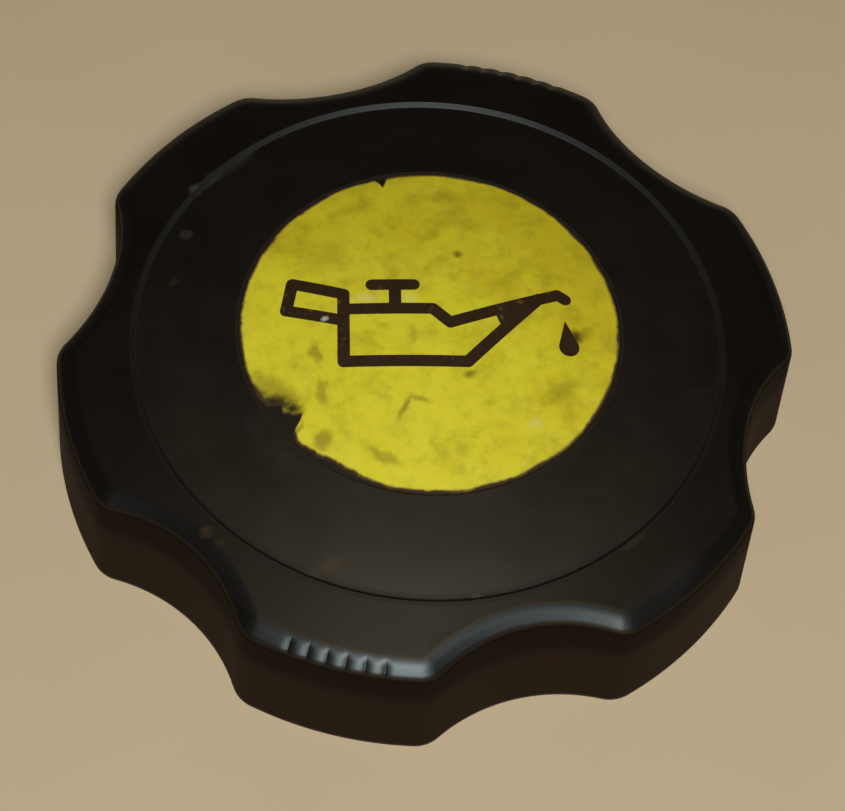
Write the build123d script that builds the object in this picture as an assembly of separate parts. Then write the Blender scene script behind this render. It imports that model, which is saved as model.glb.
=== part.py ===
from build123d import *
import os
from math import acos, atan2, cos, degrees, hypot, radians, sin, sqrt, tan

# Oil filler cap: a lobed grip moulded in one piece with its skirt and hollow bayonet plug,
# a flat rubber sealing ring, a thin label disc and the oil-can sign printed on the label.
# Millimetres and degrees. The skirt's rim is at z = 0, and the sign's baseline runs along +X.

# Grip outline
GRIP_RADIUS = 35.05
LOBE_COUNT = 6
LOBE_TURN = 15.0
SCALLOP_DEPTH = 3.8
SCALLOP_RADIUS = 16.8
CORNER_RADIUS = 3.2
LEAST_CORNER = 0.3
WALL_DRAFT = 1.2

# Top face: a shallow dome, a raised ring round it and a sloping band out to the rounded edge
TOTAL_HEIGHT = 18.4
DOME_RADIUS = 98.0
RING_BORDER = 3.45
RING_RADIUS = GRIP_RADIUS - SCALLOP_DEPTH - RING_BORDER
RING_RISE = 0.36
RING_FLANK = 0.6
RING_ROUNDING = 0.25
BAND_SLOPE = 14.5
TOP_EDGE_RADIUS = 2.1

# Fine grip grooves in the faces of two opposite lobes, full depth at their top and run out at their foot
GROOVED_LOBES = (1, 4)
GROOVE_COUNT = 6
GROOVE_PITCH = 1.83
GROOVE_WIDTH = 0.9
GROOVE_DEPTH = 1.3
GROOVE_FOOT = 4.5
GROOVE_TOP = 12.0

# Hollow underside
SKIRT_WALL = 2.4
TOP_WALL = 2.7
SEAT_HEIGHT = 11.0
GUSSET_WIDTH = 1.6
GUSSET_HEIGHT = 7.0
GUSSET_CLEARANCE = 3.2

# Bayonet plug
PLUG_RADIUS = 19.0
PLUG_WALL = 2.4
PLUG_LIFT = 1.0
GUIDE_STEP = 0.6
LEAD_IN = 0.8
FLANGE_GAP = 2.4
LUG_COUNT = 3
LUG_REACH = 3.0
LUG_THICKNESS = 2.2
LUG_SPAN = 40.0
LUG_RAMP = 12.0

# Sealing ring
SEAL_THICKNESS = 2.0
SEAL_WIDTH = 5.8
SEAL_CLEARANCE = 0.2
SEAL_ROUNDING = 0.4

# Label disc, with a flake and a nick gone from its edge: (angle, depth of loss) going round the edge
LABEL_RADIUS = 17.75
LABEL_THICKNESS = 0.3
LABEL_CLEARANCE = 0.1
FLAKE = (
    (207.5, 0.0),
    (211.4, 0.35),
    (213.1, 1.3),
    (217.5, 1.55),
    (218.4, 2.35),
    (220.3, 1.55),
    (221.9, 0.6),
    (225.0, 0.15),
    (234.5, 0.6),
    (242.0, 0.6),
    (250.0, 0.35),
    (258.0, 0.0),
)
NICK = (
    (102.3, 0.0),
    (103.8, 0.5),
    (104.8, 0.95),
    (105.8, 0.3),
    (106.6, 0.0),
)

# Oil-can sign: the middle lines of its strokes
SIGN_THICKNESS = 0.12
SIGN_STROKE = 1.15
CAN_LEFT = -8.1
CAN_BASE = -4.55
CAN_TOP = 1.15
CAN_HEEL = 3.35
SHOULDER = (0.2, CAN_TOP)
SPOUT_ROOT = (1.8, -0.35)
SPOUT_TIP = (11.95, 3.3)
SPOUT_HOOK = (12.65, 2.85)
SPOUT_MEET = (10.15, 2.7)
WEDGE_TOP = (5.9, 1.2)
WEDGE_LOW = (6.7, -0.95)
HANDLE_TOP_LEFT = (-12.85, 4.25)
HANDLE_TOP_RIGHT = (CAN_LEFT, 2.85)
HANDLE_LOW_RIGHT = (CAN_LEFT, -0.1)
HANDLE_LOW_LEFT = (-13.4, 1.25)
KNOB_HEIGHT = 3.85
KNOB_LEFT = -5.45
KNOB_RIGHT = -1.55
STEM_PLACE = -3.3
DROP_TIP = (12.55, 0.4)
DROP_CENTRE = (12.85, -2.4)
DROP_RADIUS = 0.95

UPWARD = (Align.CENTER, Align.CENTER, Align.MIN)


def polar(radius, angle):
    """Point at a radius and an angle about the axis."""
    return (radius * cos(radians(angle)), radius * sin(radians(angle)))


def dome_height(radius):
    """Height of the dome's surface at a distance from the axis."""
    return TOTAL_HEIGHT - DOME_RADIUS + sqrt(DOME_RADIUS**2 - radius**2)


def band_height(radius):
    """Height of the sloping band at a distance from the axis, counted from the ring's crest."""
    crest = dome_height(RING_RADIUS - RING_FLANK) + RING_RISE
    return crest - (radius - RING_RADIUS) * tan(radians(BAND_SLOPE))


def dome_arc(edge_radius, lift):
    """Section line of the dome from its middle to an edge radius, lifted off its surface."""
    ball = DOME_RADIUS + lift
    middle = TOTAL_HEIGHT - DOME_RADIUS
    half = edge_radius / 2
    return ThreePointArc(
        (0, middle + ball),
        (half, middle + sqrt(ball**2 - half**2)),
        (edge_radius, middle + sqrt(ball**2 - edge_radius**2)),
    )


def turned(section):
    """Solid turned about the axis from a section drawn as (radius, height)."""
    return revolve(Plane.XZ * section, Axis.Z)


def dome_shell(edge_radius, low, high):
    """Round shell between two surfaces that run parallel to the dome."""
    upper = dome_arc(edge_radius, high)
    lower = dome_arc(edge_radius, low)
    side = Line(upper @ 1, lower @ 1)
    middle = Line(lower @ 0, upper @ 0)
    return turned(make_face(upper + side + lower + middle))


def lobed_face(inset):
    """Flat face inside the grip's outline at the rim, a given distance in from it."""
    lobe = GRIP_RADIUS - inset
    scallop = SCALLOP_RADIUS + inset
    corner = max(CORNER_RADIUS - inset, LEAST_CORNER)
    scallop_place = GRIP_RADIUS - SCALLOP_DEPTH + SCALLOP_RADIUS
    to_corner = lobe - corner
    across = scallop + corner
    turn = degrees(acos((to_corner**2 + scallop_place**2 - across**2) / (2 * to_corner * scallop_place)))
    pitch = 360 / LOBE_COUNT
    lines = Curve()
    for index in range(LOBE_COUNT):
        middle = LOBE_TURN + index * pitch
        scallop_centre = Vector(*polar(scallop_place, middle - pitch / 2))
        next_centre = Vector(*polar(scallop_place, middle + pitch / 2))
        ends = []
        for side, centre in ((-1, scallop_centre), (1, next_centre)):
            angle = middle + side * (pitch / 2 - turn)
            corner_centre = Vector(*polar(to_corner, angle))
            on_scallop = centre + (corner_centre - centre).normalized() * scallop
            on_lobe = Vector(*polar(lobe, angle))
            between = ((on_scallop + on_lobe) / 2 - corner_centre).normalized() * corner
            lines += ThreePointArc(on_scallop, corner_centre + between, on_lobe)
            ends.append((on_scallop, on_lobe))
        lines += ThreePointArc(ends[0][1], polar(lobe, middle), ends[1][1])
        dip = polar(scallop_place - scallop, middle + pitch / 2)
        next_start = ends[0][0].rotate(Axis.Z, pitch)
        lines += ThreePointArc(ends[1][0], dip, next_start)
    return make_face(lines)


def crown():
    """Turned solid whose top is the dome, the raised ring and the sloping band."""
    valley_radius = RING_RADIUS - RING_FLANK
    crest = (RING_RADIUS, band_height(RING_RADIUS))
    far_radius = GRIP_RADIUS + TOP_EDGE_RADIUS
    far = (far_radius, band_height(far_radius))
    dome = dome_arc(valley_radius, 0)
    rest = Polyline(dome @ 1, crest, far, (far_radius, 0), (0, 0), dome @ 0)
    section = make_face(dome + rest)
    ring_corners = [v for v in section.vertices() if valley_radius - 0.1 < v.X < RING_RADIUS + 0.1]
    return turned(fillet(ring_corners, RING_ROUNDING))


def groove_cutter():
    """Upright cutter of one groove: a round floor, open towards +X."""
    floor = Cylinder(GROOVE_WIDTH / 2, TOTAL_HEIGHT, align=UPWARD)
    slot = Box(2 * GROOVE_DEPTH, GROOVE_WIDTH, TOTAL_HEIGHT, align=(Align.MIN, Align.CENTER, Align.MIN))
    return floor + slot


def groove_cutters():
    """Cutters of all the grooves, leaning in so that each runs out of the wall at its foot."""
    wall = GRIP_RADIUS - GROOVE_FOOT * tan(radians(WALL_DRAFT))
    taper = degrees(atan2(GROOVE_DEPTH, GROOVE_TOP - GROOVE_FOOT))
    lean = Pos(wall + GROOVE_WIDTH / 2, 0, GROOVE_FOOT) * Rot(0, -WALL_DRAFT - taper, 0)
    cutter = lean * groove_cutter()
    step = degrees(GROOVE_PITCH / GRIP_RADIUS)
    cutters = []
    for lobe in GROOVED_LOBES:
        middle = LOBE_TURN + lobe * 360 / LOBE_COUNT
        for index in range(GROOVE_COUNT):
            angle = middle + (index - (GROOVE_COUNT - 1) / 2) * step
            cutters.append(Rot(0, 0, angle) * cutter)
    return cutters


def grip_block():
    """Solid grip with its domed top, rounded top edge and grooves."""
    upper = Pos(0, 0, TOTAL_HEIGHT) * lobed_face(TOTAL_HEIGHT * tan(radians(WALL_DRAFT)))
    block = loft([lobed_face(0).face(), upper.face()]) & crown()
    band_middle = (RING_RADIUS + GRIP_RADIUS - SCALLOP_DEPTH) / 2
    band = block.faces().sort_by_distance((band_middle, 0, band_height(band_middle)))[0]
    block = fillet(band.outer_wire().edges(), TOP_EDGE_RADIUS)
    return block - groove_cutters()


def seal_outer_radius():
    """Outer radius of the sealing ring round the plug."""
    return PLUG_RADIUS + SEAL_CLEARANCE + SEAL_WIDTH


def lug_floor():
    """Height of the lugs' lower faces, set by the gap left for the neck's flange."""
    return SEAT_HEIGHT - SEAL_THICKNESS - FLANGE_GAP - LUG_THICKNESS


def plug_section():
    """Section of the plug's outside: guide, step and upper part."""
    guide_radius = PLUG_RADIUS - GUIDE_STEP
    guide_top = lug_floor()
    return Polyline(
        (0, PLUG_LIFT),
        (guide_radius - LEAD_IN, PLUG_LIFT),
        (guide_radius, PLUG_LIFT + LEAD_IN),
        (guide_radius, guide_top),
        (PLUG_RADIUS, guide_top),
        (PLUG_RADIUS, SEAT_HEIGHT + TOP_WALL / 2),
        (0, SEAT_HEIGHT + TOP_WALL / 2),
        close=True,
    )


def bayonet_lug():
    """One lug of the plug, with its upper face ramped at the end that leads."""
    lug_low = lug_floor()
    root = PLUG_RADIUS - PLUG_WALL / 2
    reach = PLUG_RADIUS + LUG_REACH
    section = Pos(root, lug_low) * Rectangle(reach - root, LUG_THICKNESS, align=Align.MIN)
    lug = revolve(Plane.XZ * section, Axis.Z, LUG_SPAN)
    ramp = Box(4 * reach, reach, TOTAL_HEIGHT, align=(Align.CENTER, Align.MIN, Align.MIN))
    ramp = Pos(0, 0, lug_low + LUG_THICKNESS) * Rot(-LUG_RAMP, 0, 0) * ramp
    return Rot(0, 0, -LUG_SPAN / 2) * lug - ramp


def gusset():
    """One upright rib between the top plate and the skirt, inside a lobe."""
    start = seal_outer_radius() + GUSSET_CLEARANCE
    return Pos(start, 0, SEAT_HEIGHT - GUSSET_HEIGHT) * Box(
        GRIP_RADIUS - SKIRT_WALL / 2 - start,
        GUSSET_WIDTH,
        GUSSET_HEIGHT + TOP_WALL / 2,
        align=(Align.MIN, Align.CENTER, Align.MIN),
    )


def cap_body():
    """Grip, skirt, top plate and plug as one moulding."""
    body = grip_block() - extrude(lobed_face(SKIRT_WALL), SEAT_HEIGHT)
    for index in range(LOBE_COUNT):
        body += Rot(0, 0, LOBE_TURN + index * 360 / LOBE_COUNT) * gusset()
    body += turned(make_face(plug_section()))
    for index in range(LUG_COUNT):
        body += Rot(0, 0, LOBE_TURN + index * 360 / LUG_COUNT) * bayonet_lug()
    plug_bore = PLUG_RADIUS - PLUG_WALL
    body -= dome_shell(plug_bore, -TOTAL_HEIGHT, -TOP_WALL)
    body -= dome_shell(LABEL_RADIUS + LABEL_CLEARANCE, -LABEL_THICKNESS, TOTAL_HEIGHT)
    return body


def sealing_ring():
    """Flat rubber ring round the plug, against the top plate."""
    inner = seal_outer_radius() - SEAL_WIDTH
    section = Pos(inner, SEAT_HEIGHT - SEAL_THICKNESS) * Rectangle(
        SEAL_WIDTH, SEAL_THICKNESS, align=Align.MIN
    )
    return turned(fillet(section.vertices(), SEAL_ROUNDING))


def edge_loss(places):
    """Face that takes a torn strip off the label's edge."""
    outside = 2 * LABEL_RADIUS
    torn = [polar(LABEL_RADIUS - depth, angle) for angle, depth in places]
    far = [polar(outside, places[-1][0]), polar(outside, places[0][0])]
    return make_face(Polyline(*torn, *far, close=True))


def label_disc():
    """Thin domed disc in its recess, with the lost bits of its edge taken off."""
    label = dome_shell(LABEL_RADIUS, -LABEL_THICKNESS, 0)
    for places in (FLAKE, NICK):
        label -= extrude(edge_loss(places), 2 * TOTAL_HEIGHT)
    return label


def stroke(*points):
    """Stroke of the sign along straight runs, with round ends and corners."""
    pen = Sketch()
    for start, end in zip(points, points[1:]):
        run = Vector(*end) - Vector(*start)
        bar = Rectangle(run.length, SIGN_STROKE)
        middle = (Vector(*start) + Vector(*end)) / 2
        pen += Pos(middle.X, middle.Y) * Rot(0, 0, degrees_of(run)) * bar
    for point in points:
        pen += Pos(*point) * Circle(SIGN_STROKE / 2)
    return pen


def degrees_of(run):
    """Direction of a flat vector, in degrees from +X."""
    return Vector(1, 0).get_signed_angle(run, Vector(0, 0, 1))


def can_sketch():
    """The can: body, spout, handle and knob."""
    sketch = stroke(HANDLE_TOP_RIGHT, (CAN_LEFT, CAN_BASE), (CAN_HEEL, CAN_BASE), SPOUT_MEET)
    sketch += stroke((CAN_LEFT, CAN_TOP), SHOULDER, SPOUT_ROOT, SPOUT_TIP, SPOUT_HOOK)
    sketch += stroke(HANDLE_TOP_RIGHT, HANDLE_TOP_LEFT, HANDLE_LOW_LEFT, HANDLE_LOW_RIGHT)
    sketch += stroke((KNOB_LEFT, KNOB_HEIGHT), (KNOB_RIGHT, KNOB_HEIGHT))
    sketch += stroke((STEM_PLACE, KNOB_HEIGHT), (STEM_PLACE, CAN_TOP))
    sketch += make_face(Polyline(WEDGE_TOP, SPOUT_MEET, WEDGE_LOW, close=True))
    return sketch


def drop_sketch():
    """The drop: a round foot with straight sides up to its tip."""
    rise = (DROP_TIP[0] - DROP_CENTRE[0], DROP_TIP[1] - DROP_CENTRE[1])
    reach = hypot(*rise)
    lean = degrees_of(Vector(*rise))
    spread = degrees(acos(DROP_RADIUS / reach))
    sides = [polar(DROP_RADIUS, lean + turn) for turn in (spread, -spread)]
    flanks = [(DROP_CENTRE[0] + x, DROP_CENTRE[1] + y) for x, y in sides]
    foot = Pos(*DROP_CENTRE) * Circle(DROP_RADIUS)
    return foot + make_face(Polyline(DROP_TIP, *flanks, close=True))


def label_sign():
    """The printed sign as a thin layer on the label."""
    layer = dome_shell(LABEL_RADIUS, 0, SIGN_THICKNESS)
    return extrude(can_sketch() + drop_sketch(), 2 * TOTAL_HEIGHT) & layer


os.makedirs("parts", exist_ok=True)
export_step(cap_body(), "parts/cap_body.step")
export_step(sealing_ring(), "parts/sealing_ring.step")
export_step(label_disc(), "parts/label_disc.step")
export_step(label_sign(), "parts/label_sign.step")
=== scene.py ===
import logging
import math
from dataclasses import dataclass
from enum import Enum
from itertools import zip_longest
from typing import Iterable, Sequence, Union

import bmesh
import bpy
from bmesh.types import BMEdge, BMesh, BMFace, BMVert
from bpy.types import ID, Material, Node, NodeSocket, Object
from mathutils import Matrix, Vector, noise


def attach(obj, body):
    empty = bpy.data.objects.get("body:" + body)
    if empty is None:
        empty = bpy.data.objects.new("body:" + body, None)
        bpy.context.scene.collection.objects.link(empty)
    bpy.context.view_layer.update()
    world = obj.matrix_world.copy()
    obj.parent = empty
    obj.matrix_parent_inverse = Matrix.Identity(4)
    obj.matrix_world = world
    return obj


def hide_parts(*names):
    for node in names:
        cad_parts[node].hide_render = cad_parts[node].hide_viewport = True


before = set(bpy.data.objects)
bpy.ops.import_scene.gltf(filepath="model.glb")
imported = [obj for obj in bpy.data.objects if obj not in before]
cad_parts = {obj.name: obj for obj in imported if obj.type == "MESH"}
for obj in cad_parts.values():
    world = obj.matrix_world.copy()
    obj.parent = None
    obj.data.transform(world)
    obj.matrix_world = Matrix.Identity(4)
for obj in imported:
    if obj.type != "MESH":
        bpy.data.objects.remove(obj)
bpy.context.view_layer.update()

# Oil filler cap: lobed grip with a hollow bayonet plug, rubber sealing ring, yellow label, printed sign.
# Sizes are in millimetres and angles in degrees; meshes are scaled to metres as they are finished.
MM = 0.001
LOG = logging.getLogger("oil_filler_cap")
# Vertices closer together than this are merged.
MERGE_DISTANCE = 0.001
# Attribute of a mesh that its finish reads. On the label it goes from 1 at the torn edge to 0 inside it.
# On the cap it is 0 on the top and rises to these values: at the ends of the upper corner of the top edge,
# of its slant and of its lower corner, down on the wall, and underneath.
SIDE = "side"
CORNER_SIDE = 0.3
SLANT_SIDE = 0.4
EDGE_SIDE = 1.0
WALL_SIDE = 1.3
UNDER_SIDE = 2.0

Colour = tuple[float, float, float]
Point = tuple[float, float, float]
Pair = tuple[float, float]
Numbers = tuple[float, ...]
Ring = list[Vector]
Value = Union[float, NodeSocket]
Tint = Union[Colour, NodeSocket]


def polar(radius: float, angle: float) -> Vector:
    """Flat point at a radius and an angle in radians about the axis."""
    return Vector((radius * math.cos(angle), radius * math.sin(angle)))


def lifted(flat: Vector, height: float) -> Vector:
    """Flat point lifted to a height."""
    return Vector((flat.x, flat.y, height))


def spread(start: float, end: float, count: int) -> list[float]:
    """Evenly spaced values from start to end, both included."""
    return [start + (end - start) * index / (count - 1) for index in range(count)]


def eased(share: float) -> float:
    """Share held between 0 and 1, and smoothed at both ends."""
    held = min(max(share, 0.0), 1.0)
    return held**2 * (3 - 2 * held)


def rise_of(angle: float) -> float:
    """Rise for each unit along, at an angle in degrees."""
    return math.tan(math.radians(angle))


def apex_angle(side: float, other_side: float, opposite: float) -> float:
    """Angle in radians between two sides of a triangle, from the length of the third."""
    return math.acos((side**2 + other_side**2 - opposite**2) / (2 * side * other_side))


def rounded(corners: Sequence[Point], segments: int = 5) -> list[Vector]:
    """Section line with its corners rounded off.

    Args:
        corners: Radius, height and rounding of each corner, in order.
        segments: Points that each rounding is drawn with.

    Returns:
        The points of the line as radius and height.
    """
    points: list[Vector] = []
    for index, (radius, height, rounding) in enumerate(corners):
        here = Vector((radius, height))
        if rounding == 0.0:
            points.append(here)
            continue
        before = (Vector(corners[index - 1][:2]) - here).normalized()
        after = (Vector(corners[index + 1][:2]) - here).normalized()
        opening = before.angle(after)
        middle = here + (before + after).normalized() * (rounding / math.sin(opening / 2))
        reach = rounding / math.tan(opening / 2)
        first = (here + before * reach - middle).normalized()
        last = (here + after * reach - middle).normalized()
        points += [middle + first.slerp(last, share) * rounding for share in spread(0.0, 1.0, segments)]
    return points


def drawn_on(mesh: BMesh, ring: Sequence[BMVert]) -> list[BMVert]:
    """Extrude a closed ring of edges.

    Args:
        mesh: Mesh that holds the ring.
        ring: Vertices of the ring, in order.

    Returns:
        The new ring's vertices, in the same order.
    """
    edges = [mesh.edges.get(pair) for pair in zip(ring, [*ring[1:], ring[0]])]
    made = bmesh.ops.extrude_edge_only(mesh, edges=edges)["geom"]
    fresh = {item for item in made if isinstance(item, BMVert)}
    return [
        next(edge.other_vert(vert) for edge in vert.link_edges if edge.other_vert(vert) in fresh)
        for vert in ring
    ]


def skinned(rings: Sequence[Ring], first_pole: Vector, last_pole: Vector, sides: Sequence[float]) -> BMesh:
    """Closed skin extruded from ring to ring and drawn together to a point at both ends.

    Args:
        rings: Places of the rings in order, all with as many points.
        first_pole: Point that closes the first ring.
        last_pole: Point that closes the last ring.
        sides: Value that the finish reads on each ring; rings past the last one given have 0.

    Returns:
        The closed mesh, facing outwards.
    """
    mesh = bmesh.new()
    layer = mesh.verts.layers.float.new(SIDE)
    first = bmesh.ops.create_circle(mesh, segments=len(rings[0]), radius=1.0)["verts"]
    ring = first
    for places, side in zip_longest(rings, sides, fillvalue=0.0):
        ring = drawn_on(mesh, ring)
        for vert, place in zip(ring, places):
            vert.co = place
            vert[layer] = side
    last = drawn_on(mesh, ring)
    bmesh.ops.pointmerge(mesh, verts=first, merge_co=first_pole)
    bmesh.ops.pointmerge(mesh, verts=last, merge_co=last_pole)
    bmesh.ops.recalc_face_normals(mesh, faces=mesh.faces)
    return mesh


def mesh_of_face(corners: Sequence[Pair]) -> BMesh:
    """Mesh of one upright face in the plane of X and Z.

    Args:
        corners: Radius and height of each corner, in order.

    Returns:
        The mesh with its one face.
    """
    mesh = bmesh.new()
    verts = [bmesh.ops.create_vert(mesh, co=(radius, 0, height))["vert"][0] for radius, height in corners]
    bmesh.ops.contextual_create(mesh, geom=verts)
    return mesh


def merge_into(mesh: BMesh, other: BMesh) -> None:
    """Copy another mesh into a mesh.

    Args:
        mesh: Mesh that takes the copy.
        other: Mesh that is copied and freed.
    """
    data = bpy.data.meshes.new("carrier")
    other.to_mesh(data)
    other.free()
    mesh.from_mesh(data)
    bpy.data.meshes.remove(data)


def turned(mesh: BMesh, angle: float) -> None:
    """Turn a mesh about the cap's axis by an angle in degrees."""
    turn = Matrix.Rotation(math.radians(angle), 3, "Z")
    bmesh.ops.rotate(mesh, cent=(0, 0, 0), matrix=turn, verts=mesh.verts)


def whole(mesh: BMesh) -> list[Union[BMFace, BMEdge, BMVert]]:
    """All faces, edges and vertices of a mesh."""
    return [*mesh.faces, *mesh.edges, *mesh.verts]


def in_scene(name: str, data: ID) -> Object:
    """Put a new object in the scene.

    Args:
        name: Name of the object.
        data: Its mesh, camera or light.

    Returns:
        The object.
    """
    item = bpy.data.objects.new(name, data)
    bpy.context.scene.collection.objects.link(item)
    return item


def piece_from(mesh: BMesh, name: str) -> Object:
    """Scale a mesh to metres and put it in the scene as an object at the origin.

    Args:
        mesh: Mesh in millimetres, which is freed.
        name: Name of the object and its mesh.

    Returns:
        The object.
    """
    bmesh.ops.transform(mesh, matrix=Matrix.Scale(MM, 4), verts=mesh.verts)
    data = bpy.data.meshes.new(name)
    mesh.to_mesh(data)
    mesh.free()
    return in_scene(name, data)


def shade(piece: Object, sharp_from: float = 34.0) -> None:
    """Shade a piece smoothly, but for its hard edges.

    Args:
        piece: The piece.
        sharp_from: Angle between two faces from which their edge is hard.
    """
    mesh = bmesh.new()
    mesh.from_mesh(piece.data)
    for face in mesh.faces:
        face.smooth = True
    for edge in mesh.edges:
        edge.smooth = len(edge.link_faces) == 2 and edge.calc_face_angle() < math.radians(sharp_from)
    mesh.to_mesh(piece.data)
    mesh.free()


def joined(body: Object, added: Object) -> None:
    """Unite another closed mesh with a piece.

    Args:
        body: The piece.
        added: Object with the other mesh, which is removed.
    """
    union = body.modifiers.new("union", "BOOLEAN")
    union.operation = "UNION"
    union.solver = "EXACT"
    union.object = added
    graph = bpy.context.evaluated_depsgraph_get()
    united = bpy.data.meshes.new_from_object(body.evaluated_get(graph))
    body.modifiers.remove(union)
    former = body.data
    body.data = united
    united.name = body.name
    bpy.data.meshes.remove(former)
    bpy.data.objects.remove(added)


class Arc(Enum):
    """The arcs that each part of the grip's outline is made of, going round."""

    CORNER_IN = "from the scallop up to the lobe"
    LOBE = "face of the lobe"
    CORNER_OUT = "from the lobe down to the scallop"
    SCALLOP = "hollow between two lobes"


@dataclass(frozen=True)
class Column:
    """One upright line of the grip's mesh.

    Attributes:
        lobe: Number of the lobe that it belongs to.
        arc: Arc of the outline that it stands on.
        share: How far along the arc it stands, from 0 to 1.
    """

    lobe: int
    arc: Arc
    share: float


@dataclass(frozen=True)
class GripOutline:
    """Lobed outline of the grip at its rim, drawn with arcs that run into each other.

    Further in, the corners' arcs get smaller, but no smaller than the least corner.
    """

    grip_radius: float = 35.05
    lobe_count: int = 6
    lobe_turn: float = 15.0
    scallop_depth: float = 3.8
    scallop_radius: float = 16.8
    corner_radius: float = 3.2
    least_corner: float = 0.3

    def far(self) -> float:
        """Distance of the scallops' middles from the axis."""
        return self.grip_radius - self.scallop_depth + self.scallop_radius

    def half_face(self) -> float:
        """Half the length of a lobe's face at the rim.

        Returns:
            The length along the outline.
        """
        reach = self.grip_radius - self.corner_radius
        across = self.scallop_radius + self.corner_radius
        return (math.pi / self.lobe_count - apex_angle(reach, self.far(), across)) * self.grip_radius

    def place(self, column: Column, inset: float) -> tuple[Vector, float]:
        """Find a column's point on the outline.

        Args:
            column: The column.
            inset: Distance in from the outline at the rim.

        Returns:
            The flat point, and the direction in radians that the outline faces there.
        """
        lobe = self.grip_radius - inset
        scallop = self.scallop_radius + inset
        corner = max(self.corner_radius - inset, self.least_corner)
        far = self.far()
        reach = lobe - corner
        across = scallop + corner
        half = math.pi / self.lobe_count
        face = half - apex_angle(reach, far, across)
        lean = math.pi - apex_angle(reach, across, far)
        sweep = apex_angle(far, across, reach)
        middle = math.radians(self.lobe_turn) + 2 * half * column.lobe
        if column.arc is Arc.LOBE:
            angle = middle + face * (2 * column.share - 1)
            return polar(lobe, angle), angle
        if column.arc is Arc.SCALLOP:
            heading = middle + half + math.pi + sweep * (1 - 2 * column.share)
            return polar(far, middle + half) + polar(scallop, heading), heading + math.pi
        if column.arc is Arc.CORNER_IN:
            heading = middle - face - lean * (1 - column.share)
            return polar(reach, middle - face) + polar(corner, heading), heading
        heading = middle + face + lean * column.share
        return polar(reach, middle + face) + polar(corner, heading), heading


@dataclass(frozen=True)
class GripGrooves:
    """Fine upright grooves in the faces of two opposite lobes, with rounded ribs between them.

    Attributes:
        lobes: Numbers of the grooved lobes.
        count: Number of grooves on each of them.
        pitch: Distance from groove to groove.
        depth: Depth of a groove's floor under the crests of the ribs.
        crest_power: How much wider the crests are than the floors.
        foot: Height at which the grooves begin on the wall.
        top: Height from which they have their full depth.
        edge_start: Value of the edge's attribute at which they end.
        edge_run: Range of that value over which they run out.
        columns_across: Shares of half a groove's width at which the mesh has columns.
        columns_beside: Shares of the face beside the grooves at which it has columns.
    """

    lobes: tuple[int, ...] = (1, 4)
    count: int = 6
    pitch: float = 1.83
    depth: float = 0.13
    crest_power: float = 2.2
    foot: float = 4.5
    top: float = 11.2
    edge_start: float = 0.08
    edge_run: float = 0.32
    columns_across: Numbers = (0.0, 0.06, 0.13, 0.22, 0.35, 0.5, 0.66, 0.83)
    columns_beside: Numbers = (0.25, 0.6)

    def middles(self) -> list[float]:
        """Places of the grooves' middle lines along the lobe's face, from its own middle."""
        return [(index - (self.count - 1) / 2) * self.pitch for index in range(self.count)]

    def stations(self, half_face: float) -> list[float]:
        """Places along a grooved lobe's face where the mesh needs a column.

        Args:
            half_face: Half the length of the lobe's face.

        Returns:
            The places in order, from the face's middle.
        """
        half = self.pitch / 2
        across = sorted({side * half * part for part in self.columns_across for side in (-1.0, 1.0)})
        places = [middle + offset for middle in self.middles() for offset in [*across, half]]
        end = places[-1]
        tail = [end + (half_face - end) * part for part in self.columns_beside]
        return [-half_face, *(-place for place in reversed(tail)), -end, *places, *tail]

    def depth_at(self, along: float) -> float:
        """Full depth of the grooves at a place along the lobe's face.

        Args:
            along: Distance of the place from the face's middle.

        Returns:
            The depth.
        """
        off = min(abs(along - middle) for middle in self.middles())
        from_crest = max(1 - off / (self.pitch / 2), 0.0)
        return self.depth * from_crest**self.crest_power

    def on_wall(self, height: float) -> float:
        """Share of the full depth at a height of the wall: the grooves run out towards their feet."""
        return eased((height - self.foot) / (self.top - self.foot))

    def on_edge(self, side: float) -> float:
        """Share of the full depth at a value of the edge's attribute: the grooves end at the band."""
        return eased((side - self.edge_start) / self.edge_run)


@dataclass(frozen=True)
class Crown:
    """Turned top of the grip: a shallow dome, a raised ring round it and a sloping band."""

    total_height: float = 18.4
    dome_radius: float = 98.0
    ring_radius: float = 27.8
    ring_rise: float = 0.43
    ring_flank: float = 0.36
    ring_foot: float = 0.12
    ring_rounding: float = 0.08
    ring_lead: float = 0.6
    ring_tail: float = 0.5
    band_slope: float = 14.5

    def dome(self, radius: float, lift: float = 0.0) -> float:
        """Height of the dome, or of a surface lifted off it, at a distance from the axis."""
        ball = self.dome_radius + lift
        return self.total_height - self.dome_radius + math.sqrt(ball**2 - radius**2)

    def along_dome(self, radii: Iterable[float], lift: float = 0.0) -> list[Vector]:
        """Points of a section along the dome, or along a surface lifted off it."""
        return [Vector((radius, self.dome(radius, lift))) for radius in radii]

    def band(self, radius: float) -> float:
        """Height of the sloping band at a distance from the axis."""
        crest = self.dome(self.ring_radius - self.ring_flank) + self.ring_rise
        return crest - (radius - self.ring_radius) * rise_of(self.band_slope)

    def ring_section(self) -> list[Vector]:
        """Section of the raised ring, from the dome's edge out to the band.

        Returns:
            The points of the section as radius and height.
        """
        valley = self.ring_radius - self.ring_flank
        start = valley - self.ring_lead
        end = self.ring_radius + self.ring_tail
        return rounded(
            [
                (start, self.dome(start), 0.0),
                (valley, self.dome(valley), self.ring_foot),
                (self.ring_radius, self.band(self.ring_radius), self.ring_rounding),
                (end, self.band(end), 0.0),
            ]
        )


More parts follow.
